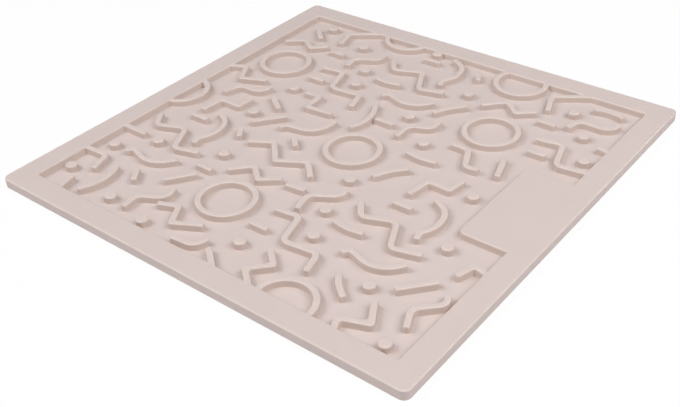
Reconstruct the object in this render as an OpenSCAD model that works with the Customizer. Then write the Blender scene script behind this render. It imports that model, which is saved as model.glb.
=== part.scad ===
// Square lick mat moulded in one piece from soft food-grade silicone.
// A thin floor sheet carries a raised border, a plain name pad and a relief of
// low ridges: rings, studs, bars, zigzags, stairs, steps, waves, hooks and arcs.
// Food is spread between the ridges, and every ridge is flush with the border.
// Seen from above, +X is right and +Y is away. The origin lies under the middle
// of the mat, on the surface that it rests on.

/* [Mat] */
// side of the square mat
mat_side = 200; // [120:1:320]
// full thickness, from the table to the ridge tops
mat_t = 4.3; // [3:0.1:9]
// thickness of the floor sheet under the relief
sheet_t = 1.5; // [0.8:0.1:3]
// radius of the mat's four corners, seen from above
corner_r = 3; // [1:0.1:12]
// width of the raised border
border_w = 10.2; // [5:0.1:20]
// bevel along the top edges of the border and the pad
edge_bevel = 0.5; // [0.1:0.05:1]

/* [Ridges] */
// width of every ridge along its top
ridge_w = 2.4; // [1.2:0.1:4]
// how far a wall stands out at its foot beyond its top edge
wall_lean = 0.4; // [0:0.05:0.8]
// bevel along the shoulders of every ridge
shoulder_bevel = 0.4; // [0.1:0.05:0.5]
// rounding of a ridge's ends, seen from above, as a share of its width
end_round_share = 0.38; // [0.1:0.01:0.45]
// outer diameter of the ring ridges along their top
ring_d = 24.8; // [12:0.1:40]
// diameter of the round studs where their tops start to round over
stud_d = 5.2; // [3.2:0.1:8]
// radius that rounds the top of a stud
stud_round = 1.2; // [0.1:0.05:1.5]

/* [Name pad] */
// how far the pad reaches into the relief from the right border
pad_reach = 20.4; // [8:0.1:40]
// length of the pad along the border
pad_len = 49.6; // [20:0.1:100]
// radius of the pad's two free corners
pad_corner_r = 3; // [1:0.1:8]

/* [Hidden] */
$fn = 64;
bend_steps = 5;
end_steps = 2;
silicone = [0.84, 0.77, 0.74];
ridge_h = mat_t - sheet_t;
half_side = mat_side / 2;
half_field = half_side - border_w;
ring_mid_r = (ring_d - ridge_w) / 2;
end_r = end_round_share * ridge_w;
foot_half = ridge_w / 2 + wall_lean;

// Places are shares of the mat's side, measured from its middle.
ring_shares = [
    [0.019, -0.0095], [-0.353, 0.208], [0.216, 0.209], [-0.073, -0.287],
    [-0.463, -0.027], [0.213, -0.448], [0.164, 0.425], [-0.173, 0.470]
];
stud_shares = [
    [-0.369, 0.413], [-0.243, 0.373], [-0.072, 0.440], [0.093, 0.318],
    [0.322, 0.373], [-0.168, 0.280], [0.383, 0.297], [-0.146, 0.216],
    [0.425, 0.215], [0.040, 0.165], [-0.252, 0.122], [0.126, 0.092],
    [-0.257, -0.010], [0.311, -0.012], [0.082, -0.099], [-0.191, -0.172],
    [0.357, -0.170], [-0.343, -0.215], [0.107, -0.205], [-0.412, -0.277],
    [0.139, -0.279], [0.305, -0.332], [-0.422, -0.385], [0.041, -0.371],
    [-0.268, -0.412], [-0.158, -0.429], [0.410, -0.430]
];

// Each row of a path is a corner of the ridge's middle line: its place, then
// the radius that rounds it. A corner with no radius is mitred.
short_bar_shares = [
    [[-0.083, 0.405], [-0.041, 0.405]], [[-0.297, 0.312], [-0.256, 0.312]],
    [[0.275, 0.302], [0.315, 0.302]], [[-0.258, 0.184], [-0.217, 0.184]],
    [[0.315, 0.188], [0.355, 0.188]], [[-0.015, 0.116], [0.031, 0.116]],
    [[0.197, -0.112], [0.239, -0.112]], [[-0.010, -0.184], [0.034, -0.180]],
    [[-0.208, -0.233], [-0.168, -0.233]], [[0.017, -0.316], [0.058, -0.316]],
    [[-0.362, -0.095], [-0.318, -0.094]], [[-0.461, -0.213], [-0.386, -0.213]],
    [[0.427, 0.274], [0.461, 0.266]], [[0.062, 0.410], [0.077, 0.383]],
    [[-0.112, -0.042], [-0.086, -0.068]], [[-0.230, -0.080], [-0.211, -0.106]],
    [[-0.296, -0.317], [-0.272, -0.349]], [[-0.387, -0.410], [-0.375, -0.461]],
    [[0.008, -0.418], [0.060, -0.461]]
];
long_bar_shares = [
    [[-0.231, -0.046], [-0.181, 0.014]], [[-0.223, -0.313], [-0.183, -0.259]],
    [[0.347, -0.315], [0.397, -0.258]], [[-0.404, 0.393], [-0.362, 0.352]],
    [[-0.266, 0.063], [-0.218, 0.029]], [[0.293, 0.134], [0.313, 0.070]]
];
curved_bar_shares = [
    [[-0.124, 0.264], [-0.091, 0.258, 0.100], [-0.057, 0.267]],
    [[0.118, 0.045], [0.154, 0.039, 0.100], [0.189, 0.045]],
    [[0.141, -0.223], [0.175, -0.230, 0.100], [0.211, -0.225]],
    [[0.351, 0.409], [0.387, 0.419, 0.080], [0.419, 0.408]],
    [[0.074, 0.204], [0.090, 0.238, 0.100], [0.120, 0.269]],
    [[0.113, -0.066], [0.131, -0.031, 0.100], [0.158, -0.004]],
    [[0.245, -0.338], [0.262, -0.363, 0.100], [0.289, -0.382]]
];
zigzag_shares = [
    [[-0.427, 0.293], [-0.386, 0.324], [-0.349, 0.297], [-0.317, 0.326]],
    [[0.142, 0.291], [0.184, 0.334], [0.221, 0.303], [0.256, 0.330]],
    [[-0.142, -0.211], [-0.104, -0.172], [-0.067, -0.205], [-0.029, -0.175]],
    [[-0.181, -0.109], [-0.132, -0.082], [-0.084, -0.133], [-0.025, -0.100],
        [0.014, -0.139]],
    [[-0.462, 0.114], [-0.415, 0.137], [-0.387, 0.087], [-0.329, 0.111]],
    [[-0.172, -0.376], [-0.131, -0.358], [-0.104, -0.405], [-0.048, -0.375]]
];
crank_shares = [
    [[0.268, 0.021], [0.263, -0.021], [0.213, -0.019], [0.206, -0.075]],
    [[-0.298, 0.028], [-0.301, -0.013], [-0.352, -0.011], [-0.358, -0.068]],
    [[-0.214, 0.120], [-0.176, 0.121], [-0.171, 0.071], [-0.106, 0.077]],
    [[0.101, -0.356], [0.137, -0.387], [0.102, -0.423], [0.147, -0.461]],
    [[0.338, -0.360], [0.366, -0.408], [0.312, -0.428], [0.328, -0.462]]
];
stair_path_shares = [
    [-0.141, 0.357], [-0.113, 0.318, 0.015], [-0.048, 0.344, 0.015],
    [-0.013, 0.273, 0.015], [0.045, 0.289]
];
stair_shift_shares = [[0, 0], [0.288, -0.504], [-0.281, -0.491]];
step_path_shares = [
    [-0.258, 0.235], [-0.203, 0.243, 0.014], [-0.182, 0.168, 0.018],
    [-0.105, 0.177, 0.014], [-0.091, 0.127]
];
step_shift_shares = [[0, 0], [0.285, -0.494], [0.568, 0.001]];
half_step_shares = [
    [[-0.468, -0.322], [-0.390, -0.318, 0.014], [-0.374, -0.367]],
    [[0.177, 0.122], [0.217, 0.121, 0.014], [0.243, 0.065, 0.014], [0.272, 0.069]]
];
vee_shares = [
    [[0.331, 0.461], [0.251, 0.407], [0.272, 0.350]],
    [[-0.239, 0.461], [-0.316, 0.409], [-0.302, 0.358]],
    [[0.412, -0.228], [0.424, -0.187], [0.461, -0.198]]
];
wave_shares = [
    [[0.340, 0.311], [0.346, 0.347, 0.022], [0.418, 0.346, 0.024], [0.424, 0.376]],
    [[-0.217, 0.275], [-0.224, 0.313, 0.024], [-0.172, 0.337, 0.020], [-0.173, 0.368]],
    [[-0.374, 0.018], [-0.361, 0.060, 0.022], [-0.301, 0.061, 0.022], [-0.299, 0.094]],
    [[0.064, 0.083], [0.061, 0.128, 0.022], [0.110, 0.150, 0.020], [0.106, 0.182]],
    [[0.060, -0.235], [0.049, -0.188, 0.020], [0.101, -0.158, 0.020], [0.102, -0.132]],
    [[-0.219, -0.422], [-0.226, -0.382, 0.020], [-0.172, -0.355, 0.020], [-0.182, -0.322]],
    [[0.417, -0.382], [0.397, -0.341, 0.018], [0.441, -0.297, 0.018], [0.426, -0.276]],
    [[-0.072, -0.434], [-0.018, -0.429, 0.022], [-0.012, -0.400]]
];
hook_path_shares = [
    [-0.021, 0.436], [0.017, 0.418, 0.050], [0.030, 0.366, 0.060],
    [0.011, 0.333, 0.012], [0.018, 0.316]
];
hook_shift_shares = [[0, 0], [0.281, -0.499], [-0.290, -0.496]];
scoop_path_shares = [
    [-0.065, 0.204], [-0.056, 0.219, 0.008], [0.016, 0.195, 0.055], [0.052, 0.241]
];
scoop_shift_shares = [[0, 0], [0.275, -0.493], [-0.305, -0.487]];
loose_scoop_shares = [
    [-0.079, 0.057], [-0.081, -0.004, 0.046], [-0.155, -0.014, 0.010], [-0.166, -0.028]
];
arc_shares = [
    [[-0.052, 0.168], [-0.019, 0.106, 0.090], [-0.038, 0.055]],
    [[-0.339, -0.333], [-0.313, -0.388, 0.090], [-0.341, -0.434]]
];

// A path's corners in millimetres, moved by a shift. The third value of a
// row is the radius of its bend, or nothing.
function corner(row, shift) = [
    (row[0] + shift[0]) * mat_side,
    (row[1] + shift[1]) * mat_side,
    len(row) > 2 ? row[2] * mat_side : 0
];
function corners(path, shift = [0, 0]) = [for (row = path) corner(row, shift)];

// Heading of the run after corner i, in degrees, and the signed turn there.
function heading(p, i) = atan2(p[i + 1][1] - p[i][1], p[i + 1][0] - p[i][0]);
function wrap(a) = a > 180 ? a - 360 : (a < -180 ? a + 360 : a);
function turn(p, i) = wrap(heading(p, i) - heading(p, i - 1));

// Stations of a ridge. Each is a point on its middle line, the heading there,
// how wide a cut square to that heading is beside the ridge, how much lower
// its top is, and how far its foot stands out along the heading.
function bend_centre(p, i) =
    let (into = heading(p, i - 1), side = sign(turn(p, i)))
    let (back = p[i][2] * tan(abs(turn(p, i)) / 2))
    [
        p[i][0] - back * cos(into) - side * p[i][2] * sin(into),
        p[i][1] - back * sin(into) + side * p[i][2] * cos(into)
    ];
function bend_station(p, i, share) =
    let (c = bend_centre(p, i), side = sign(turn(p, i)))
    let (along = heading(p, i - 1) + share * turn(p, i))
    [
        c[0] + side * p[i][2] * sin(along),
        c[1] - side * p[i][2] * cos(along),
        along,
        1,
        0,
        0
    ];
function mitre_station(p, i) =
    [p[i][0], p[i][1], heading(p, i - 1) + turn(p, i) / 2, 1 / cos(turn(p, i) / 2), 0, 0];
function corner_stations(p, i) = p[i][2] > 0
    ? [for (k = [0 : bend_steps]) bend_station(p, i, k / bend_steps)]
    : [mitre_station(p, i)];

// Towards its ends a ridge narrows round two corners, its top tips over and
// its foot stands out beyond its top.
function end_station(place, along, inward, angle) =
    let (run = end_r * (1 - cos(angle)))
    [
        place[0] + inward * run * cos(along),
        place[1] + inward * run * sin(along),
        along,
        1 - 2 * end_r * (1 - sin(angle)) / ridge_w,
        max(shoulder_bevel - run, 0),
        -inward * wall_lean
    ];
function first_stations(p) =
    [for (k = [0 : end_steps]) end_station(p[0], heading(p, 0), 1, 90 * k / end_steps)];
function last_stations(p) =
    let (n = len(p) - 1)
    [for (k = [end_steps : -1 : 0]) end_station(p[n], heading(p, n - 1), -1, 90 * k / end_steps)];
function stations(p) = concat(
    first_stations(p),
    [for (i = [1 : 1 : len(p) - 2]) each corner_stations(p, i)],
    last_stations(p)
);

// Cross-section of a ridge: walls that lean in and bevelled shoulders.
ridge_section = [
    [-foot_half, 0],
    [foot_half, 0],
    [ridge_w / 2, ridge_h - shoulder_bevel],
    [ridge_w / 2 - shoulder_bevel, ridge_h],
    [shoulder_bevel - ridge_w / 2, ridge_h],
    [-ridge_w / 2, ridge_h - shoulder_bevel]
];
function section_at(station) = [
    for (q = ridge_section)
        let (out = q[1] > 0 ? 0 : station[5])
        [
            station[0] + out * cos(station[2]) - q[0] * station[3] * sin(station[2]),
            station[1] + out * sin(station[2]) + q[0] * station[3] * cos(station[2]),
            min(q[1], ridge_h - station[4])
        ]
];

// A whole ridge: its cross-section carried along all stations of its path.
module stroke(p) {
    stops = stations(p);
    sides = len(ridge_section);
    last = (len(stops) - 1) * sides;
    points = [for (station = stops) each section_at(station)];
    walls = [
        for (s = [0 : len(stops) - 2], k = [0 : sides - 1])
            let (a = s * sides + k, b = s * sides + (k + 1) % sides)
                each [[a, a + sides, b + sides], [a, b + sides, b]]
    ];
    ends = [
        for (k = [1 : sides - 2])
            each [[0, k, k + 1], [last, last + k + 1, last + k]]
    ];
    polyhedron(points, concat(walls, ends));
}

// Puts a ridge on the floor sheet.
module on_sheet() {
    translate([0, 0, sheet_t])
        children();
}

// Cuts a ridge off where it meets the border's inner walls and their bevel.
module inside_border() {
    intersection() {
        children();
        pocket();
    }
}

module strokes(paths, shifts = [[0, 0]]) {
    color(silicone)
        on_sheet()
            for (path = paths, shift = shifts)
                inside_border()
                    stroke(corners(path, shift));
}

// Outline of the mat with its rounded corners.
module mat_outline() {
    inset = half_side - corner_r;
    union() {
        square([mat_side, 2 * inset], center = true);
        square([2 * inset, mat_side], center = true);
        for (x = [-inset, inset], y = [-inset, inset])
            translate([x, y])
                circle(corner_r);
    }
}

module base_sheet() {
    color(silicone)
        linear_extrude(sheet_t)
            mat_outline();
}

// A bar as high as the relief, bevelled along the tops of both ends. Its end
// walls stand out by a lean at their foot.
module bevel_ended_bar(long, wide, lean) {
    rotate([90, 0, 0])
        linear_extrude(wide, center = true)
            polygon([
                [-long / 2 - lean, 0],
                [long / 2 + lean, 0],
                [long / 2, ridge_h - edge_bevel],
                [long / 2 - edge_bevel, ridge_h],
                [edge_bevel - long / 2, ridge_h],
                [-long / 2, ridge_h - edge_bevel]
            ]);
}

module bevelled_disc(r, lean) {
    rotate_extrude()
        polygon([
            [0, 0],
            [r + lean, 0],
            [r, ridge_h - edge_bevel],
            [r - edge_bevel, ridge_h],
            [0, ridge_h]
        ]);
}

// A slab with rounded corners whose top edge is bevelled all round.
module bevelled_slab(long, wide, r, lean) {
    union() {
        bevel_ended_bar(long, wide - 2 * r, lean);
        rotate(90)
            bevel_ended_bar(wide, long - 2 * r, lean);
        for (x = [-1, 1], y = [-1, 1])
            translate([x * (long / 2 - r), y * (wide / 2 - r), 0])
                bevelled_disc(r, lean);
    }
}

// The pocket inside the border. Its walls lean, and it flares at the top.
module pocket() {
    wide = 2 * half_field;
    intersection() {
        flared_trough(wide);
        rotate(90)
            flared_trough(wide);
    }
}

module flared_trough(wide) {
    rotate([90, 0, 0])
        linear_extrude(2 * mat_side, center = true)
            polygon([
                [wall_lean - wide / 2, -ridge_h],
                [wide / 2 - wall_lean, -ridge_h],
                [wide / 2 - wall_lean, 0],
                [wide / 2, ridge_h - edge_bevel],
                [wide / 2 + 2 * edge_bevel, ridge_h + edge_bevel],
                [-wide / 2 - 2 * edge_bevel, ridge_h + edge_bevel],
                [-wide / 2, ridge_h - edge_bevel],
                [wall_lean - wide / 2, 0]
            ]);
}

// One side of the border, mitred at both ends like a picture frame.
module border_side(turned) {
    color(silicone)
        on_sheet()
            intersection() {
                difference() {
                    bevelled_slab(mat_side, mat_side, corner_r, 0);
                    pocket();
                }
                rotate(turned)
                    translate([0, 0, -ridge_h])
                        linear_extrude(3 * ridge_h)
                            polygon([[0, 0], [-mat_side, -mat_side], [mat_side, -mat_side]]);
            }
}

// Plain raised pad that grows out of the right border.
module name_pad() {
    long = pad_reach + border_w;
    color(silicone)
        on_sheet()
            inside_border()
                translate([half_side - long / 2, 0, 0])
                    bevelled_slab(long, pad_len, pad_corner_r, wall_lean);
}

module ring(place) {
    color(silicone)
        on_sheet()
            inside_border()
                translate([place[0] * mat_side, place[1] * mat_side, 0])
                    rotate_extrude()
                        translate([ring_mid_r, 0])
                            polygon(ridge_section);
}

// A stud whose top is rounded over to its wall in three short cones.
module stud() {
    shoulder = [
        for (a = [0, 30, 60, 90]) [
            stud_d / 2 - stud_round * (1 - cos(a)),
            ridge_h - stud_round * (1 - sin(a))
        ]
    ];
    rotate_extrude()
        polygon(concat([[0, 0], [stud_d / 2 + wall_lean, 0]], shoulder, [[0, ridge_h]]));
}

module round_studs() {
    color(silicone)
        on_sheet()
            for (place = stud_shares)
                inside_border()
                    translate([place[0] * mat_side, place[1] * mat_side, 0])
                        stud();
}

module short_bars() { strokes(short_bar_shares); }
module long_bars() { strokes(long_bar_shares); }
module curved_bars() { strokes(curved_bar_shares); }
module zigzag_ridges() { strokes(zigzag_shares); }
module crank_ridges() { strokes(crank_shares); }
module stair_ridges() { strokes([stair_path_shares], stair_shift_shares); }
module step_ridges() {
    strokes([step_path_shares], step_shift_shares);
    strokes(half_step_shares);
}
module vee_ridges() { strokes(vee_shares); }
module wave_ridges() { strokes(wave_shares); }
module hook_ridges() { strokes([hook_path_shares], hook_shift_shares); }
module scoop_ridges() {
    strokes([scoop_path_shares], scoop_shift_shares);
    strokes([loose_scoop_shares]);
}
module arc_ridges() { strokes(arc_shares); }

base_sheet();
border_side(0);  // border_front
border_side(90);  // border_right
border_side(180);  // border_back
border_side(270);  // border_left
name_pad();
ring(ring_shares[0]);  // ring_1
ring(ring_shares[1]);  // ring_2
ring(ring_shares[2]);  // ring_3
ring(ring_shares[3]);  // ring_4
ring(ring_shares[4]);  // ring_5
ring(ring_shares[5]);  // ring_6
ring(ring_shares[6]);  // ring_7
ring(ring_shares[7]);  // ring_8
round_studs();
short_bars();
long_bars();
curved_bars();
zigzag_ridges();
crank_ridges();
stair_ridges();
step_ridges();
vee_ridges();
wave_ridges();
hook_ridges();
scoop_ridges();
arc_ridges();
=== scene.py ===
# %% [markdown]
# A square lick mat of soft silicone: a thin sheet with a raised border, a plain pad on
# one side and a relief of low ridges, rings and studs that holds soft food.
# The real mat is one moulding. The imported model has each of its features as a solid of
# its own, so the looks are built the same way: one mesh for each feature, with the
# rounded shoulders and foot fillets that a mould leaves and the plain solids lack.

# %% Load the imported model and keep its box
import math

import bmesh
import bpy
from mathutils import Matrix, Vector


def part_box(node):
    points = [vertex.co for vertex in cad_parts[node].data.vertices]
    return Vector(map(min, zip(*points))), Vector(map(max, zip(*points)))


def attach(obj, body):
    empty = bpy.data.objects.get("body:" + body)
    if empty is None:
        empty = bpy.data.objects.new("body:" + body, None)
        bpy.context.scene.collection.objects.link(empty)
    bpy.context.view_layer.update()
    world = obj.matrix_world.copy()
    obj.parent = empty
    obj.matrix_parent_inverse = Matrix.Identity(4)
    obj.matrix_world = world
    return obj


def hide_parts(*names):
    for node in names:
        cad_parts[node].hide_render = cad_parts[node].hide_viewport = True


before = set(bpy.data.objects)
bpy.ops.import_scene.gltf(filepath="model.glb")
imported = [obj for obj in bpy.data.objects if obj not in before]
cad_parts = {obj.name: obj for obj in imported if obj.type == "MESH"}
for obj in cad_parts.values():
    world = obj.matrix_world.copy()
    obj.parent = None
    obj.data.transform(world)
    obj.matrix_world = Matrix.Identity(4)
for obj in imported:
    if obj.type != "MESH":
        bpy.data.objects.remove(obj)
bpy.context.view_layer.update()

# %% [markdown]
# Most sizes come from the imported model, so the looks follow it when it changes. A node's
# box gives the side of the mat, the height of its floor and of its ridge tops, how wide the
# border is and how far the pad reaches. Walls lean a little, as they must to leave a mould,
# so a box shows a feature at its foot, and the lean is taken off to get to its top. No box
# shows how wide one ridge or one stud is, so these widths are set here, and so are the lean
# and the radii of the mould.

# %% Sizes, in metres
MM = 0.001
sheet_low, sheet_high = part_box("base_sheet")
_, front_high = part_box("border_front")
pad_low, pad_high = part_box("name_pad")
ring_low, ring_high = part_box("ring_1")
draft = 0.4 * MM
side = sheet_high.x - sheet_low.x
floor_z = sheet_high.z
top_z = front_high.z
relief = top_z - floor_z
half_side = side / 2
half_field = draft - front_high.y
ring_outer = (ring_high.x - ring_low.x) / 2 - draft
pad_middle = (pad_low.y + pad_high.y) / 2
pad_reach = (pad_high.y - pad_low.y) / 2
border_w = half_side - half_field
corner_r = 3 * MM
ridge_w = 2.3 * MM
stud_d = 4.9 * MM
edge_r = 0.6 * MM
shoulder_r = 0.5 * MM
foot_r = 0.28 * MM
print("side", round(side, 4), "relief", round(relief, 5), "field", round(2 * half_field, 4))

# %% [markdown]
# The camera stands where the photographer did, worked out from the mat's four corners.
# It is placed in shares of the mat's side, looks along a compass angle and a tilt, and is
# rolled a little, as a hand-held camera is.

# %% Camera
FRAME_PX = (680, 407)
FOCAL_PX = 957.1
SENSOR_MM = 36
NEAR_CLIP = 0.01
CAMERA_SHARES = Vector((1.0718, -1.3010, 1.0763))
LOOK_AZIMUTH = 130.29
LOOK_DOWN = 35.63
CAMERA_ROLL = -3.16


def aim(azimuth, down):
    """The direction of a view, from degrees round the mat and degrees below level."""
    flat = math.cos(math.radians(down))
    turn = math.radians(azimuth)
    fall = -math.sin(math.radians(down))
    return Vector((flat * math.cos(turn), flat * math.sin(turn), fall))


lens = bpy.data.cameras.new("photo_camera")
lens.sensor_width = SENSOR_MM
lens.lens = FOCAL_PX / FRAME_PX[0] * lens.sensor_width
lens.clip_start = NEAR_CLIP
camera = bpy.data.objects.new("photo_camera", lens)
bpy.context.scene.collection.objects.link(camera)
facing = aim(LOOK_AZIMUTH, LOOK_DOWN).to_track_quat("-Z", "Y").to_matrix().to_4x4()
camera.matrix_world = (
    Matrix.Translation(CAMERA_SHARES * side)
    @ facing
    @ Matrix.Rotation(math.radians(CAMERA_ROLL), 4, "Z")
)
bpy.context.scene.camera = camera
print("camera at, mm:", [round(v * 1000) for v in camera.location], "lens", round(lens.lens, 1))

# %% [markdown]
# Node trees are easier to read as sums than as lists of links. A Wire is one output of a
# node, and adding or multiplying wires puts down Math nodes. Every other node comes from
# Bench.add, which sets the node up first and then fills its sockets with values or wires.
# A Mix node has sockets for every kind of data, so those for colours go by number.

# %% A short way to write node trees
MIX_A, MIX_B, MIX_RESULT = 6, 7, 2


class Wire:
    """An output of a node that sums can be written on."""

    def __init__(self, bench, socket):
        self.bench = bench
        self.socket = socket

    def __add__(self, other):
        return self.bench.maths("ADD", self, other)

    __radd__ = __add__

    def __sub__(self, other):
        return self.bench.maths("SUBTRACT", self, other)

    def __rsub__(self, other):
        return self.bench.maths("SUBTRACT", other, self)

    def __mul__(self, other):
        return self.bench.maths("MULTIPLY", self, other)

    __rmul__ = __mul__

    def __truediv__(self, other):
        return self.bench.maths("DIVIDE", self, other)

    def __neg__(self):
        return self * -1.0

    def clipped(self):
        """The value kept between 0 and 1."""
        return self.bench.add("ShaderNodeClamp", {}, {"Value": self})


class Bench:
    """A node tree that nodes are put down on."""

    def __init__(self, tree):
        self.tree = tree

    def fill(self, socket, value):
        """Leads a wire to a socket, or sets the socket to a plain value."""
        if isinstance(value, Wire):
            self.tree.links.new(value.socket, socket)
        else:
            socket.default_value = value

    def add(self, kind, settings, sockets, out=0):
        """Puts down a node, sets it up, fills its sockets and returns one of its outputs."""
        node = self.tree.nodes.new(kind)
        for name, value in settings.items():
            setattr(node, name, value)
        for name, value in sockets.items():
            self.fill(node.inputs[name], value)
        return Wire(self, node.outputs[out])

    def maths(self, operation, first, second=0.0):
        """One sum on values or wires."""
        return self.add("ShaderNodeMath", {"operation": operation}, {0: first, 1: second})

    def axis(self, vector, number):
        """The x, y or z of a vector, by number from 0."""
        return self.add("ShaderNodeSeparateXYZ", {}, {0: vector}, number)

    def mixed(self, share, first, second):
        """The first colour with a share of the second."""
        colours = {0: share, MIX_A: first, MIX_B: second}
        return self.add("ShaderNodeMix", {"data_type": "RGBA"}, colours, MIX_RESULT)


# %% [markdown]
# The silicone is matt and even, a pale pinkish beige right through. Its flanks look warmer
# and darker than its tops, because light bounces to and fro between them and takes on the
# silicone's tint. That shade is painted into the colour: inside the border it leans to tan as
# a face tips over and as it goes down towards the floor. A painted highlight gives the rounded
# shoulders a paler line, and a fainter painted highlight makes the narrow tops of the ridges
# a touch paler than the border and the pad. Faint clouds and a fine grain in the surface keep
# it from looking like paint.

# %% Silicone
TOP_COLOUR = (0.665, 0.565, 0.538, 1)
CLOUD_COLOUR = (0.640, 0.540, 0.512, 1)
PAINTED_FLANK_SHADE = (0.622, 0.504, 0.438, 1)
PAINTED_HIGHLIGHT_COLOUR = (0.830, 0.712, 0.655, 1)
CLOUDS = {"Scale": 55, "Detail": 3}
SPECKS = {"Scale": 900, "Detail": 2}
GRAIN = {"Scale": 2600, "Detail": 3}
CLOUD_START = 0.35
CLOUD_CONTRAST = 1.6
SPECK_CONTRAST = 0.5
FLANK_SHADE_AT_TOP = 0.4  # share of the painted flank shade on a tipped face at the top
CREST_HIGHLIGHT_SHARE = 0.14  # share of the painted highlight on the flat top of a ridge
HIGHLIGHT_FADE = 3.0  # how many times faster than the relief's depth the painted highlight fades
LEAST_ROUGHNESS = 0.52
SPECK_ROUGHNESS = 0.16
SHEEN_LEVEL = 0.2
BUMP_STRENGTH = 0.25
BUMP_HEIGHT = 0.03 * MM
SPECK_BUMP = 0.6


def silicone():
    """The mat's one material, on object coordinates in metres."""
    made = bpy.data.materials.new("moulded_silicone")
    made.use_nodes = True
    bench = Bench(made.node_tree)
    place = bench.add("ShaderNodeTexCoord", {}, {}, "Object")
    normal = bench.add("ShaderNodeTexCoord", {}, {}, "Normal")
    x, y, z = [bench.axis(place, number) for number in range(3)]
    from_middle = bench.maths("MAXIMUM", bench.maths("ABSOLUTE", x), bench.maths("ABSOLUTE", y))
    from_pad = bench.maths("ABSOLUTE", y - pad_middle) - pad_reach

    tipped = (1 - bench.axis(normal, 2)).clipped()
    depth = ((top_z - z) / relief).clipped()
    # 0 on the outer wall and 1 from the middle of the border inwards
    inside_border = ((half_side - from_middle) / border_w * 2.0).clipped()
    # painted shade: flanks inside the border turn tan and darker as they tip and as they go down
    flank_shade_mask = (tipped * (FLANK_SHADE_AT_TOP + depth * (1 - FLANK_SHADE_AT_TOP)) * inside_border).clipped()
    # 1 on a face that is tipped halfway, 0 on a level or an upright one
    shoulder = tipped * (1 - tipped) * 4.0
    in_field = ((half_field - from_middle) / edge_r).clipped()
    off_pad = (bench.maths("MAXIMUM", pad_low.x - x, from_pad) / edge_r).clipped()
    near_top = (1 - depth * HIGHLIGHT_FADE).clipped()
    # painted highlight: a paler line on half-tipped shoulders near the top and a fainter one on
    # ridge tops
    rim = ((shoulder + in_field * off_pad * CREST_HIGHLIGHT_SHARE) * near_top).clipped()

    clouds, specks, grain = [
        bench.add("ShaderNodeTexNoise", {}, {"Vector": place, **kind})
        for kind in (CLOUDS, SPECKS, GRAIN)
    ]
    cloudy = (clouds - CLOUD_START) * CLOUD_CONTRAST + (specks - 0.5) * SPECK_CONTRAST
    base = bench.mixed(cloudy.clipped(), TOP_COLOUR, CLOUD_COLOUR)
    with_flank_shade = bench.mixed(flank_shade_mask, base, PAINTED_FLANK_SHADE)
    bump = bench.add(
        "ShaderNodeBump", {},
        {
            "Strength": BUMP_STRENGTH, "Distance": BUMP_HEIGHT,
            "Height": grain + specks * SPECK_BUMP,
        },
    )
    skin = made.node_tree.nodes["Principled BSDF"].inputs
    bench.fill(skin["Base Color"], bench.mixed(rim, with_flank_shade, PAINTED_HIGHLIGHT_COLOUR))
    bench.fill(skin["Roughness"], LEAST_ROUGHNESS + specks * SPECK_ROUGHNESS)
    bench.fill(skin["Normal"], bump)
    bench.fill(skin["Specular IOR Level"], SHEEN_LEVEL)
    return made


SILICONE = silicone()
print("material:", SILICONE.name, len(SILICONE.node_tree.nodes), "nodes")

# %% [markdown]
# All meshes end the same way. Doubles are merged, open rims are closed with one flat face,
# and the shell is turned so that its faces look outwards. A ridge that runs into the border
# is trimmed there on all four sides. Then the mesh is shaded smooth, with normals weighted
# by face area, so that a broad flat stays flat beside a narrow fillet.

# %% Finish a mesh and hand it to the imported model
WELD = 0.002 * MM
SHARP_ABOVE = math.radians(40)
ALL_BY_AREA = 100
FOUR_SIDES = [Vector(way) for way in ((1, 0, 0), (-1, 0, 0), (0, 1, 0), (0, -1, 0))]


def close_rims(work):
    """Puts one flat face into every open rim."""
    bmesh.ops.holes_fill(work, edges=[e for e in work.edges if e.is_boundary], sides=0)


def close_shell(mesh, cut_at=None):
    """Merges doubles, trims what lies past the border and closes every open rim."""
    work = bmesh.new()
    work.from_mesh(mesh)
    bmesh.ops.remove_doubles(work, verts=work.verts, dist=WELD)
    close_rims(work)
    if cut_at:
        for out in FOUR_SIDES:
            bmesh.ops.bisect_plane(
                work, geom=work.verts[:] + work.edges[:] + work.faces[:],
                plane_co=out * cut_at, plane_no=out, clear_outer=True,
            )
            close_rims(work)
    bmesh.ops.recalc_face_normals(work, faces=work.faces)
    if work.calc_volume(signed=True) < 0:
        bmesh.ops.reverse_faces(work, faces=work.faces)
    work.to_mesh(mesh)
    open_edges = sum(not e.is_manifold for e in work.edges)
    work.free()
    return open_edges


def finish_piece(name, mesh, nodes):
    """Shades the mesh, makes its object and lets it stand for its nodes."""
    mesh.name = name
    mesh.shade_smooth()
    mesh.set_sharp_from_angle(angle=SHARP_ABOVE)
    if not mesh.materials:
        mesh.materials.append(SILICONE)
    piece = bpy.data.objects.new(name, mesh)
    bpy.context.scene.collection.objects.link(piece)
    weighted = piece.modifiers.new("even_normals", "WEIGHTED_NORMAL")
    weighted.keep_sharp = True
    weighted.weight = ALL_BY_AREA
    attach(piece, "root")
    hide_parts(*nodes)


# %% [markdown]
# The sheet and its border are one body that follows a rule: the same rounded square, over
# and over, at a new inset and height. So it is lofted in bmesh, loop by loop, from the
# underside round the outer wall, over the top, down the inner wall and onto the floor.

# %% The sheet with its border
CORNER_STEPS = 8
FILLET_STEPS = 4
POCKET_R = 1.1 * MM
UNDER_R = 0.35 * MM


def rounded_square(half, radius, z):
    """One loop of points round a square with rounded corners."""
    points = []
    for corner in range(4):
        turn = math.pi / 2 * corner
        for step in range(CORNER_STEPS + 1):
            angle = turn + math.pi / 2 * step / CORNER_STEPS
            x = (half - radius) * (1 if corner in (0, 3) else -1) + radius * math.cos(angle)
            y = (half - radius) * (1 if corner in (0, 1) else -1) + radius * math.sin(angle)
            points.append((x, y, z))
    return points


def quarter(start, end):
    """Angles from start to end in degrees, in even steps, as radians."""
    steps = range(FILLET_STEPS + 1)
    return [math.radians(start + (end - start) * k / FILLET_STEPS) for k in steps]


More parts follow.
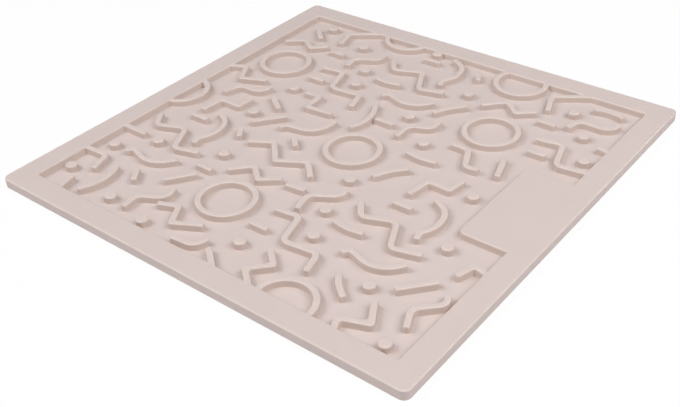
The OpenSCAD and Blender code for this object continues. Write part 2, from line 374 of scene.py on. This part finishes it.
def body_loops():
    """The loops of the sheet and border, from the underside to the floor."""
    loops = []
    for a in quarter(90, 0):
        inset = UNDER_R * (1 - math.cos(a))
        loops.append((half_side - inset, corner_r - inset, UNDER_R * (1 - math.sin(a))))
    for a in quarter(0, 90):
        inset = edge_r * (1 - math.cos(a))
        loops.append((half_side - inset, corner_r - inset, top_z - edge_r * (1 - math.sin(a))))
    for a in quarter(90, 0):
        out = edge_r * (1 - math.cos(a))
        loops.append((half_field + out, POCKET_R + out, top_z - edge_r * (1 - math.sin(a))))
    for a in quarter(0, 90):
        inset = draft + foot_r * (1 - math.cos(a))
        loops.append((half_field - inset, POCKET_R - inset, floor_z + foot_r * (1 - math.sin(a))))
    return [rounded_square(*loop) for loop in loops]


def loft(loops):
    """A mesh of quads between the loops, with a flat face on the first and the last."""
    work = bmesh.new()
    rings = [[work.verts.new(p) for p in loop] for loop in loops]
    for lower, upper in zip(rings, rings[1:]):
        for k in range(len(lower)):
            after = (k + 1) % len(lower)
            work.faces.new((lower[k], lower[after], upper[after], upper[k]))
    work.faces.new(reversed(rings[0]))
    work.faces.new(rings[-1])
    made = bpy.data.meshes.new("loft")
    work.to_mesh(made)
    work.free()
    return made


body_mesh = loft(body_loops())
print("sheet with border: open edges", close_shell(body_mesh), "faces", len(body_mesh.polygons))
finish_piece(
    "sheet_and_border", body_mesh,
    ("base_sheet", "border_front", "border_back", "border_left", "border_right"),
)

# %% [markdown]
# A moulded ridge is an outline seen from above, raised with walls that lean out to the foot,
# a rounded shoulder and a fillet where it meets the floor. Geometry Nodes make it in one
# sweep: the outline is a closed curve whose corners are filleted by their own radius, and
# the wall's section runs round it. The section goes on a little way past the fillet and dips
# just under the floor, so that no gap shows. The same tree raises every ridge and the pad,
# and the same section makes the studs.

# %% The wall section and the raised outline
SKIRT = 0.1 * MM
SINK = 0.02 * MM


def new_tree(name, inputs):
    """A geometry tree with named inputs, its bench and a wire for each input."""
    tree = bpy.data.node_groups.new(name, "GeometryNodeTree")
    tree.interface.new_socket("Geometry", in_out="OUTPUT", socket_type="NodeSocketGeometry")
    for title, kind in inputs.items():
        tree.interface.new_socket(title, in_out="INPUT", socket_type="NodeSocket" + kind)
    bench = Bench(tree)
    entry = tree.nodes.new("NodeGroupInput")
    return bench, {title: Wire(bench, entry.outputs[title]) for title in inputs}


def close_tree(bench, geometry, material):
    """Ends a tree as the export needs it: instances made real and a material set."""
    real = bench.add("GeometryNodeRealizeInstances", {}, {"Geometry": geometry})
    dressed = bench.add("GeometryNodeSetMaterial", {}, {"Geometry": real, "Material": material})
    out = bench.tree.nodes.new("NodeGroupOutput")
    bench.fill(out.inputs["Geometry"], dressed)
    return bench.tree


def point_by_number(bench, kind, values):
    """A field that gives the first point the first value, and so on."""
    node = bench.tree.nodes.new("GeometryNodeIndexSwitch")
    node.data_type = kind
    for _ in values[2:]:
        node.index_switch_items.new()
    bench.fill(node.inputs["Index"], bench.add("GeometryNodeInputIndex", {}, {}))
    for k, value in enumerate(values):
        bench.fill(node.inputs[str(k)], value)
    return Wire(bench, node.outputs[0])


def flat_point(bench, across, up):
    """A point of a section: how far out, and how far up from the floor."""
    return bench.add("ShaderNodeCombineXYZ", {}, {"X": across, "Y": -up})


def section(bench, points, radii, closed):
    """A section curve through the points, each rounded by its radius."""
    line = bench.add("GeometryNodeMeshLine", {}, {"Count": len(points)})
    curve = bench.add("GeometryNodeMeshToCurve", {}, {"Mesh": line})
    placed = bench.add(
        "GeometryNodeSetPosition", {},
        {"Geometry": curve, "Position": point_by_number(bench, "VECTOR", points)},
    )
    if closed:
        placed = bench.add("GeometryNodeSetSplineCyclic", {}, {"Geometry": placed, "Cyclic": True})
    return bench.add(
        "GeometryNodeFilletCurve", {"mode": "POLY"},
        {"Curve": placed, "Count": FILLET_STEPS, "Radius": point_by_number(bench, "FLOAT", radii)},
    )


def wall_section(bench, size):
    """Half of a ridge's section: over the shoulder, down the wall and onto the floor."""
    points = [
        flat_point(bench, -size["Shoulder"], size["Height"]),
        flat_point(bench, 0.0, size["Height"]),
        flat_point(bench, size["Draft"], 0.0),
        flat_point(bench, size["Draft"] + size["Foot"] + SKIRT, -SINK),
    ]
    return section(bench, points, [0.0, size["Shoulder"], size["Foot"], 0.0], False)


def level_circle(bench, steps, radius):
    """A circle for a section to be carried round."""
    sockets = {"Resolution": steps, "Radius": radius}
    return bench.add("GeometryNodeCurvePrimitiveCircle", {}, sockets)


def swept(bench, rail, profile):
    """The profile carried round a level rail, always upright."""
    upright = bench.add("GeometryNodeSetCurveNormal", {"mode": "Z_UP"}, {"Curve": rail})
    return bench.add(
        "GeometryNodeCurveToMesh", {}, {"Curve": upright, "Profile Curve": profile, "Scale": 1.0}
    )


SIZE_INPUTS = {"Height": "Float", "Shoulder": "Float", "Foot": "Float", "Draft": "Float"}


def raised_outline_tree():
    """Raises closed outlines; each corner's curve radius is the radius of its fillet."""
    bench, size = new_tree(
        "raised_outline",
        {"Geometry": "Geometry", **SIZE_INPUTS, "Corner Steps": "Int", "Material": "Material"},
    )
    rail = bench.add(
        "GeometryNodeFilletCurve", {"mode": "POLY"},
        {
            "Curve": size["Geometry"], "Count": size["Corner Steps"],
            "Radius": bench.add("GeometryNodeInputRadius", {}, {}),
        },
    )
    walls = swept(bench, rail, wall_section(bench, size))
    return close_tree(bench, walls, size["Material"])


RAISED_OUTLINE = raised_outline_tree()
print("tree:", RAISED_OUTLINE.name, len(RAISED_OUTLINE.nodes), "nodes")

# %% [markdown]
# A tree works on an object, so each ridge's outline becomes a closed curve. Its modifier's
# inputs are filled by their identifiers, the result is read back as a plain mesh, and the
# curve that carried it is thrown away.


# %% Run a tree and keep its mesh
def grown(tree, carrier, values):
    """The mesh that a geometry tree makes on the carrier object."""
    bpy.context.scene.collection.objects.link(carrier)
    modifier = carrier.modifiers.new(tree.name, "NODES")
    modifier.node_group = tree
    for item in tree.interface.items_tree:
        if item.in_out == "INPUT" and item.name in values:
            modifier[item.identifier] = values[item.name]
    bpy.context.view_layer.update()
    evaluated = carrier.evaluated_get(bpy.context.evaluated_depsgraph_get())
    made = bpy.data.meshes.new_from_object(evaluated)
    bpy.data.objects.remove(carrier)
    return made


def outline_carrier(outlines):
    """A curve object with one closed curve for each outline of (x, y, radius) corners."""
    data = bpy.data.curves.new("outlines", "CURVE")
    data.dimensions = "3D"
    for outline in outlines:
        curve = data.splines.new("POLY")
        curve.points.add(len(outline) - 1)
        curve.use_cyclic_u = True
        for point, (x, y, radius) in zip(curve.points, outline):
            point.co = (x, y, floor_z, 1)
            point.radius = radius
    return bpy.data.objects.new("outlines", data)


def raised(outlines, shoulder):
    """The mesh of outlines raised from the floor to the top of the relief."""
    return grown(
        RAISED_OUTLINE, outline_carrier(outlines),
        {
            "Height": relief, "Shoulder": shoulder, "Foot": foot_r, "Draft": draft,
            "Corner Steps": CORNER_STEPS, "Material": SILICONE,
        },
    )


# %% [markdown]
# The ridges are drawn as paths, in shares of the mat's side from its middle, and a path
# is widened to an outline: both sides of each run, mitred where runs meet. A third value
# of a corner is the radius of its bend. A corner without one is tight, and a little wider
# outside than inside, as on the mat's zigzags.

# %% From a path to the outline of a ridge
END_R = 0.6 * MM
INSIDE_R = 1.1 * MM
OUTSIDE_R = 1.5 * MM


def ridge_outline(path, shift=(0, 0)):
    """The closed outline of a ridge, corner by corner, anticlockwise from above."""
    spots = [(Vector(corner[:2]) + Vector(shift)) * side for corner in path]
    runs = [(b - a).normalized() for a, b in zip(spots, spots[1:])]
    half = ridge_w / 2
    right, left = [], []
    for k, spot in enumerate(spots):
        before = runs[max(k - 1, 0)]
        after = runs[min(k, len(runs) - 1)]
        along = (before + after).normalized()
        across = Vector((-along.y, along.x))
        reach = half / along.dot(after)
        turn = before.x * after.y - before.y * after.x
        bend = path[k][2] * side if len(path[k]) > 2 else 0
        if k in (0, len(spots) - 1):
            inside = outside = END_R
        elif bend:
            inside, outside = max(bend - half, INSIDE_R), bend + half
        else:
            inside, outside = INSIDE_R, OUTSIDE_R
        left.append((*(spot + across * reach), inside if turn > 0 else outside))
        right.append((*(spot - across * reach), outside if turn > 0 else inside))
    return right + left[::-1]


# %% [markdown]
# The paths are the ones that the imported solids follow, so each ridge lands on its solid. The
# relief repeats itself, so four kinds are one path, moved by about the same steps each time,
# and some have a ridge or two more that fit no other.
# Ridges that run into the border are cut where the border's flat top begins, and their tops
# and its top then meet as one face.

# %% Paths of the ridges, in shares of the side
PATHS = {
    "short_bars": [
        [[-0.083, 0.405], [-0.041, 0.405]], [[-0.297, 0.312], [-0.256, 0.312]],
        [[0.275, 0.302], [0.315, 0.302]], [[-0.258, 0.184], [-0.217, 0.184]],
        [[0.315, 0.188], [0.355, 0.188]], [[-0.015, 0.116], [0.031, 0.116]],
        [[0.197, -0.112], [0.239, -0.112]], [[-0.010, -0.184], [0.034, -0.180]],
        [[-0.208, -0.233], [-0.168, -0.233]], [[0.017, -0.316], [0.058, -0.316]],
        [[-0.362, -0.095], [-0.318, -0.094]], [[-0.461, -0.213], [-0.386, -0.213]],
        [[0.427, 0.274], [0.461, 0.266]], [[0.062, 0.410], [0.077, 0.383]],
        [[-0.112, -0.042], [-0.086, -0.068]], [[-0.230, -0.080], [-0.211, -0.106]],
        [[-0.296, -0.317], [-0.272, -0.349]], [[-0.387, -0.410], [-0.375, -0.461]],
        [[0.008, -0.418], [0.060, -0.461]],
    ],
    "long_bars": [
        [[-0.231, -0.046], [-0.181, 0.014]], [[-0.223, -0.313], [-0.183, -0.259]],
        [[0.347, -0.315], [0.397, -0.258]], [[-0.404, 0.393], [-0.362, 0.352]],
        [[-0.266, 0.063], [-0.218, 0.029]], [[0.293, 0.134], [0.313, 0.070]],
    ],
    "curved_bars": [
        [[-0.124, 0.264], [-0.091, 0.258, 0.100], [-0.057, 0.267]],
        [[0.118, 0.045], [0.154, 0.039, 0.100], [0.189, 0.045]],
        [[0.141, -0.223], [0.175, -0.230, 0.100], [0.211, -0.225]],
        [[0.351, 0.409], [0.387, 0.419, 0.080], [0.419, 0.408]],
        [[0.074, 0.204], [0.090, 0.238, 0.100], [0.120, 0.269]],
        [[0.113, -0.066], [0.131, -0.031, 0.100], [0.158, -0.004]],
        [[0.245, -0.338], [0.262, -0.363, 0.100], [0.289, -0.382]],
    ],
    "zigzag_ridges": [
        [[-0.427, 0.293], [-0.386, 0.324], [-0.349, 0.297], [-0.317, 0.326]],
        [[0.142, 0.291], [0.184, 0.334], [0.221, 0.303], [0.256, 0.330]],
        [[-0.142, -0.211], [-0.104, -0.172], [-0.067, -0.205], [-0.029, -0.175]],
        [[-0.181, -0.109], [-0.132, -0.082], [-0.084, -0.133], [-0.025, -0.100], [0.014, -0.139]],
        [[-0.462, 0.114], [-0.415, 0.137], [-0.387, 0.087], [-0.329, 0.111]],
        [[-0.172, -0.376], [-0.131, -0.358], [-0.104, -0.405], [-0.048, -0.375]],
    ],
    "crank_ridges": [
        [[0.268, 0.021], [0.263, -0.021], [0.213, -0.019], [0.206, -0.075]],
        [[-0.298, 0.028], [-0.301, -0.013], [-0.352, -0.011], [-0.358, -0.068]],
        [[-0.214, 0.120], [-0.176, 0.121], [-0.171, 0.071], [-0.106, 0.077]],
        [[0.101, -0.356], [0.137, -0.387], [0.102, -0.423], [0.147, -0.461]],
        [[0.338, -0.360], [0.366, -0.408], [0.312, -0.428], [0.328, -0.462]],
    ],
    "vee_ridges": [
        [[0.331, 0.461], [0.251, 0.407], [0.272, 0.350]],
        [[-0.239, 0.461], [-0.316, 0.409], [-0.302, 0.358]],
        [[0.412, -0.228], [0.424, -0.187], [0.461, -0.198]],
    ],
    "wave_ridges": [
        [[0.340, 0.311], [0.346, 0.347, 0.022], [0.418, 0.346, 0.024], [0.424, 0.376]],
        [[-0.217, 0.275], [-0.224, 0.313, 0.024], [-0.172, 0.337, 0.020], [-0.173, 0.368]],
        [[-0.374, 0.018], [-0.361, 0.060, 0.022], [-0.301, 0.061, 0.022], [-0.299, 0.094]],
        [[0.064, 0.083], [0.061, 0.128, 0.022], [0.110, 0.150, 0.020], [0.106, 0.182]],
        [[0.060, -0.235], [0.049, -0.188, 0.020], [0.101, -0.158, 0.020], [0.102, -0.132]],
        [[-0.219, -0.422], [-0.226, -0.382, 0.020], [-0.172, -0.355, 0.020], [-0.182, -0.322]],
        [[0.417, -0.382], [0.397, -0.341, 0.018], [0.441, -0.297, 0.018], [0.426, -0.276]],
        [[-0.072, -0.434], [-0.018, -0.429, 0.022], [-0.012, -0.400]],
    ],
    "arc_ridges": [
        [[-0.052, 0.168], [-0.019, 0.106, 0.090], [-0.038, 0.055]],
        [[-0.339, -0.333], [-0.313, -0.388, 0.090], [-0.341, -0.434]],
    ],
}
STAIR = [
    [-0.141, 0.357], [-0.113, 0.318, 0.015], [-0.048, 0.344, 0.015],
    [-0.013, 0.273, 0.015], [0.045, 0.289],
]
STEP = [
    [-0.258, 0.235], [-0.203, 0.243, 0.014], [-0.182, 0.168, 0.018],
    [-0.105, 0.177, 0.014], [-0.091, 0.127],
]
HALF_STEPS = [
    [[-0.468, -0.322], [-0.390, -0.318, 0.014], [-0.374, -0.367]],
    [[0.177, 0.122], [0.217, 0.121, 0.014], [0.243, 0.065, 0.014], [0.272, 0.069]],
]
HOOK = [
    [-0.021, 0.436], [0.017, 0.418, 0.050], [0.030, 0.366, 0.060],
    [0.011, 0.333, 0.012], [0.018, 0.316],
]
SCOOP = [[-0.065, 0.204], [-0.056, 0.219, 0.008], [0.016, 0.195, 0.055], [0.052, 0.241]]
LOOSE_SCOOP = [
    [-0.079, 0.057], [-0.081, -0.004, 0.046], [-0.155, -0.014, 0.010], [-0.166, -0.028],
]
REPEATS = {
    "stair_ridges": (STAIR, [(0, 0), (0.288, -0.504), (-0.281, -0.491)], []),
    "step_ridges": (STEP, [(0, 0), (0.285, -0.494), (0.568, 0.001)], HALF_STEPS),
    "hook_ridges": (HOOK, [(0, 0), (0.281, -0.499), (-0.290, -0.496)], []),
    "scoop_ridges": (SCOOP, [(0, 0), (0.275, -0.493), (-0.305, -0.487)], [LOOSE_SCOOP]),
}

OUTLINES = {name: [ridge_outline(path) for path in paths] for name, paths in PATHS.items()}
for name, (path, shifts, others) in REPEATS.items():
    OUTLINES[name] = [ridge_outline(path, shift) for shift in shifts]
    OUTLINES[name] += [ridge_outline(other) for other in others]
print("ridges:", sum(len(outlines) for outlines in OUTLINES.values()))

# %% Raise the ridges
BORDER_FLAT = half_field + edge_r
for name, outlines in OUTLINES.items():
    mesh = raised(outlines, shoulder_r)
    faults = close_shell(mesh, BORDER_FLAT)
    finish_piece(name, mesh, (name,))
    print(name, "ridges", len(outlines), "faces", len(mesh.polygons), "open edges", faults)

# %% [markdown]
# The pad is the same kind of thing as a ridge, only broad: a rounded outline, raised to the
# top of the border and cut where the border's flat top begins. It stays bare.

# %% The pad
PAD_R = 3 * MM
pad_left, pad_front, pad_back = pad_low.x + draft, pad_low.y + draft, pad_high.y - draft
pad_outline = [
    (pad_left, pad_front, PAD_R), (half_side, pad_front, PAD_R),
    (half_side, pad_back, PAD_R), (pad_left, pad_back, PAD_R),
]
pad_mesh = raised([pad_outline], edge_r)
print("pad: open edges", close_shell(pad_mesh, BORDER_FLAT), "faces", len(pad_mesh.polygons))
finish_piece("plain_pad", pad_mesh, ("name_pad",))

# %% [markdown]
# A ring is a whole ridge section carried round a circle. The section is closed here: up one
# side, over the top and down the other. One tree makes any ring, and the border cuts four.

# %% The rings
RING_STEPS = 96


def ring_tree():
    """A ridge section swept round a level circle."""
    bench, size = new_tree(
        "ring_ridge",
        {
            "Geometry": "Geometry", "Centre": "Vector", "Radius": "Float", "Width": "Float",
            **SIZE_INPUTS, "Material": "Material",
        },
    )
    wall = size["Width"] * 0.5
    foot = wall + size["Draft"]
    skirt = foot + size["Foot"] + SKIRT
    points = [
        flat_point(bench, -skirt, -SINK), flat_point(bench, -foot, 0.0),
        flat_point(bench, -wall, size["Height"]), flat_point(bench, wall, size["Height"]),
        flat_point(bench, foot, 0.0), flat_point(bench, skirt, -SINK),
    ]
    radii = [0.0, size["Foot"], size["Shoulder"], size["Shoulder"], size["Foot"], 0.0]
    circle = level_circle(bench, RING_STEPS, size["Radius"])
    ring = swept(bench, circle, section(bench, points, radii, True))
    placed = bench.add(
        "GeometryNodeTransform", {}, {"Geometry": ring, "Translation": size["Centre"]}
    )
    return close_tree(bench, placed, size["Material"])


RINGS = [
    (0.019, -0.0095), (-0.353, 0.208), (0.216, 0.209), (-0.073, -0.287),
    (-0.463, -0.027), (0.213, -0.448), (0.164, 0.425), (-0.173, 0.470),
]
RING_RIDGE = ring_tree()
for number, (x, y) in enumerate(RINGS, 1):
    carrier = bpy.data.objects.new("ring", bpy.data.meshes.new("ring"))
    mesh = grown(
        RING_RIDGE, carrier,
        {
            "Centre": (x * side, y * side, floor_z), "Radius": ring_outer - ridge_w / 2,
            "Width": ridge_w, "Height": relief, "Shoulder": shoulder_r, "Foot": foot_r,
            "Draft": draft, "Material": SILICONE,
        },
    )
    faults = close_shell(mesh, BORDER_FLAT)
    finish_piece(f"ring_ridge_{number}", mesh, (f"ring_{number}",))
    print("ring", number, "faces", len(mesh.polygons), "open edges", faults)

# %% [markdown]
# The studs are all alike, so one is made and set on a point for each place. Its wall is the
# same section as a ridge's, run round a small circle, with a rounder shoulder, a steeper
# wall and a smaller foot.

# %% The studs
STUD_STEPS = 32
STUD_SHOULDER = 0.7 * MM
STUD_DRAFT = 0.25 * MM
STUD_FOOT = 0.15 * MM


def stud_tree():
    """A raised disc on every point of the carrier."""
    bench, size = new_tree(
        "studs_on_points",
        {"Geometry": "Geometry", "Radius": "Float", **SIZE_INPUTS, "Material": "Material"},
    )
    circle = level_circle(bench, STUD_STEPS, size["Radius"])
    stud = swept(bench, circle, wall_section(bench, size))
    studs = bench.add(
        "GeometryNodeInstanceOnPoints", {}, {"Points": size["Geometry"], "Instance": stud}
    )
    return close_tree(bench, studs, size["Material"])


STUDS = [
    (-0.369, 0.413), (-0.243, 0.373), (-0.072, 0.440), (0.093, 0.318),
    (0.322, 0.373), (-0.168, 0.280), (0.383, 0.297), (-0.146, 0.216),
    (0.425, 0.215), (0.040, 0.165), (-0.252, 0.122), (0.126, 0.092),
    (-0.257, -0.010), (0.311, -0.012), (0.082, -0.099), (-0.191, -0.172),
    (0.357, -0.170), (-0.343, -0.215), (0.107, -0.205), (-0.412, -0.277),
    (0.139, -0.279), (0.305, -0.332), (-0.422, -0.385), (0.041, -0.371),
    (-0.268, -0.412), (-0.158, -0.429), (0.410, -0.430),
]
places = bpy.data.meshes.new("stud_places")
places.from_pydata([(x * side, y * side, floor_z) for x, y in STUDS], [], [])
stud_mesh = grown(
    stud_tree(), bpy.data.objects.new("stud_places", places),
    {
        "Radius": stud_d / 2, "Height": relief, "Shoulder": STUD_SHOULDER, "Foot": STUD_FOOT,
        "Draft": STUD_DRAFT, "Material": SILICONE,
    },
)
print("studs: open edges", close_shell(stud_mesh, BORDER_FLAT), "faces", len(stud_mesh.polygons))
finish_piece("round_studs", stud_mesh, ("round_studs",))

# %% [markdown]
# The mat lies on a white table that fades into a white background. Seen straight on or in a
# reflection, the table is part its own lit colour, which keeps the mat's shadow, and part
# plain white, and the sky is white. For the light that they give, the table is a light grey
# and the sky is dim. In the photograph the floor of the mat is dark on both sides of a ridge
# and bright in front of it, and the mat is palest near its right corner. So two softboxes
# stand at the photographer's left and right, the right one nearer, a weaker one stands in
# front, and the sky helps a little from the front and hardly at all from behind.

# %% Floor, sky and lamps
WHITE = (1, 1, 1, 1)
SEEN_GREY = 0.95
BOUNCE_GREY = 0.75
GLOW_SHARE = 0.92
SKY_FRONT, SKY_BEHIND = 0.22, 0.03
SKY_TURN = 0.75  # the cosine, behind the mat, from which the sky gets brighter
SKY_BLEND = 0.6  # how much further on, in cosines, it is at its brightest
FLOOR_HALF = 3.0
FLOOR_CORNERS = ((-1, -1), (1, -1), (1, 1), (-1, 1))
FLOOR_GAP = 0.05 * MM
# each softbox: degrees round from the camera's side, degrees up, metres away and wide, watts
SOFTBOXES = {
    "left_softbox": (-92, 48, 1.1, 0.6, 5.9),
    "right_softbox": (66, 48, 0.75, 0.45, 2.75),
    "front_softbox": (-5, 46, 0.8, 0.6, 1.5),
}


def seen_ray(bench):
    """1 for a ray that shows the background, straight on or in a reflection, and 0 for light."""
    rays = [
        bench.add("ShaderNodeLightPath", {}, {}, kind)
        for kind in ("Is Camera Ray", "Is Glossy Ray", "Is Transmission Ray")
    ]
    return (rays[0] + rays[1] + rays[2]).clipped()


def white_floor():
    """A floor that is seen as white and that still takes a soft shadow."""
    made = bpy.data.materials.new("white_floor")
    made.use_nodes = True
    bench = Bench(made.node_tree)
    seen = seen_ray(bench)
    grey = BOUNCE_GREY + seen * (SEEN_GREY - BOUNCE_GREY)
    paint = bench.add("ShaderNodeBsdfDiffuse", {}, {"Color": grey})
    glow = bench.add("ShaderNodeEmission", {}, {"Color": WHITE, "Strength": 1.0})
    shown = bench.add("ShaderNodeMixShader", {}, {0: seen * GLOW_SHARE, 1: paint, 2: glow})
    bench.fill(made.node_tree.nodes["Material Output"].inputs["Surface"], shown)
    return made


def white_sky():
    """Light from the sky, strong from the camera's side, and a sky that is seen as white."""
    world = bpy.data.worlds.new("white_sky")
    world.use_nodes = True
    bench = Bench(world.node_tree)
    sky_place = bench.add("ShaderNodeTexCoord", {}, {}, "Generated")
    towards_front = bench.add(
        "ShaderNodeVectorMath", {"operation": "DOT_PRODUCT"},
        {0: sky_place, 1: -aim(LOOK_AZIMUTH, 0)}, "Value",
    )
    ahead = ((towards_front + SKY_TURN) / SKY_BLEND).clipped()
    lit = ahead * (SKY_FRONT - SKY_BEHIND) + SKY_BEHIND
    sky = world.node_tree.nodes["Background"].inputs
    bench.fill(sky["Color"], WHITE)
    bench.fill(sky["Strength"], lit + seen_ray(bench) * (1 - lit))
    bpy.context.scene.world = world


def softbox(name, turned, up, away, wide, watts):
    """A square lamp that faces the middle of the mat."""
    light = bpy.data.lights.new(name, "AREA")
    light.size = wide
    light.energy = watts
    lamp = bpy.data.objects.new(name, light)
    bpy.context.scene.collection.objects.link(lamp)
    shining = aim(LOOK_AZIMUTH + turned, up)
    lamp.location = shining * -away
    lamp.rotation_mode = "QUATERNION"
    lamp.rotation_quaternion = shining.to_track_quat("-Z", "Y")


floor_mesh = bpy.data.meshes.new("floor")
floor_mesh.from_pydata(
    [(x * FLOOR_HALF, y * FLOOR_HALF, -FLOOR_GAP) for x, y in FLOOR_CORNERS], [], [(0, 1, 2, 3)]
)
floor_mesh.materials.append(white_floor())
floor = bpy.data.objects.new("floor", floor_mesh)
bpy.context.scene.collection.objects.link(floor)
white_sky()
for name, numbers in SOFTBOXES.items():
    softbox(name, *numbers)
bpy.context.scene.view_settings.view_transform = "Standard"
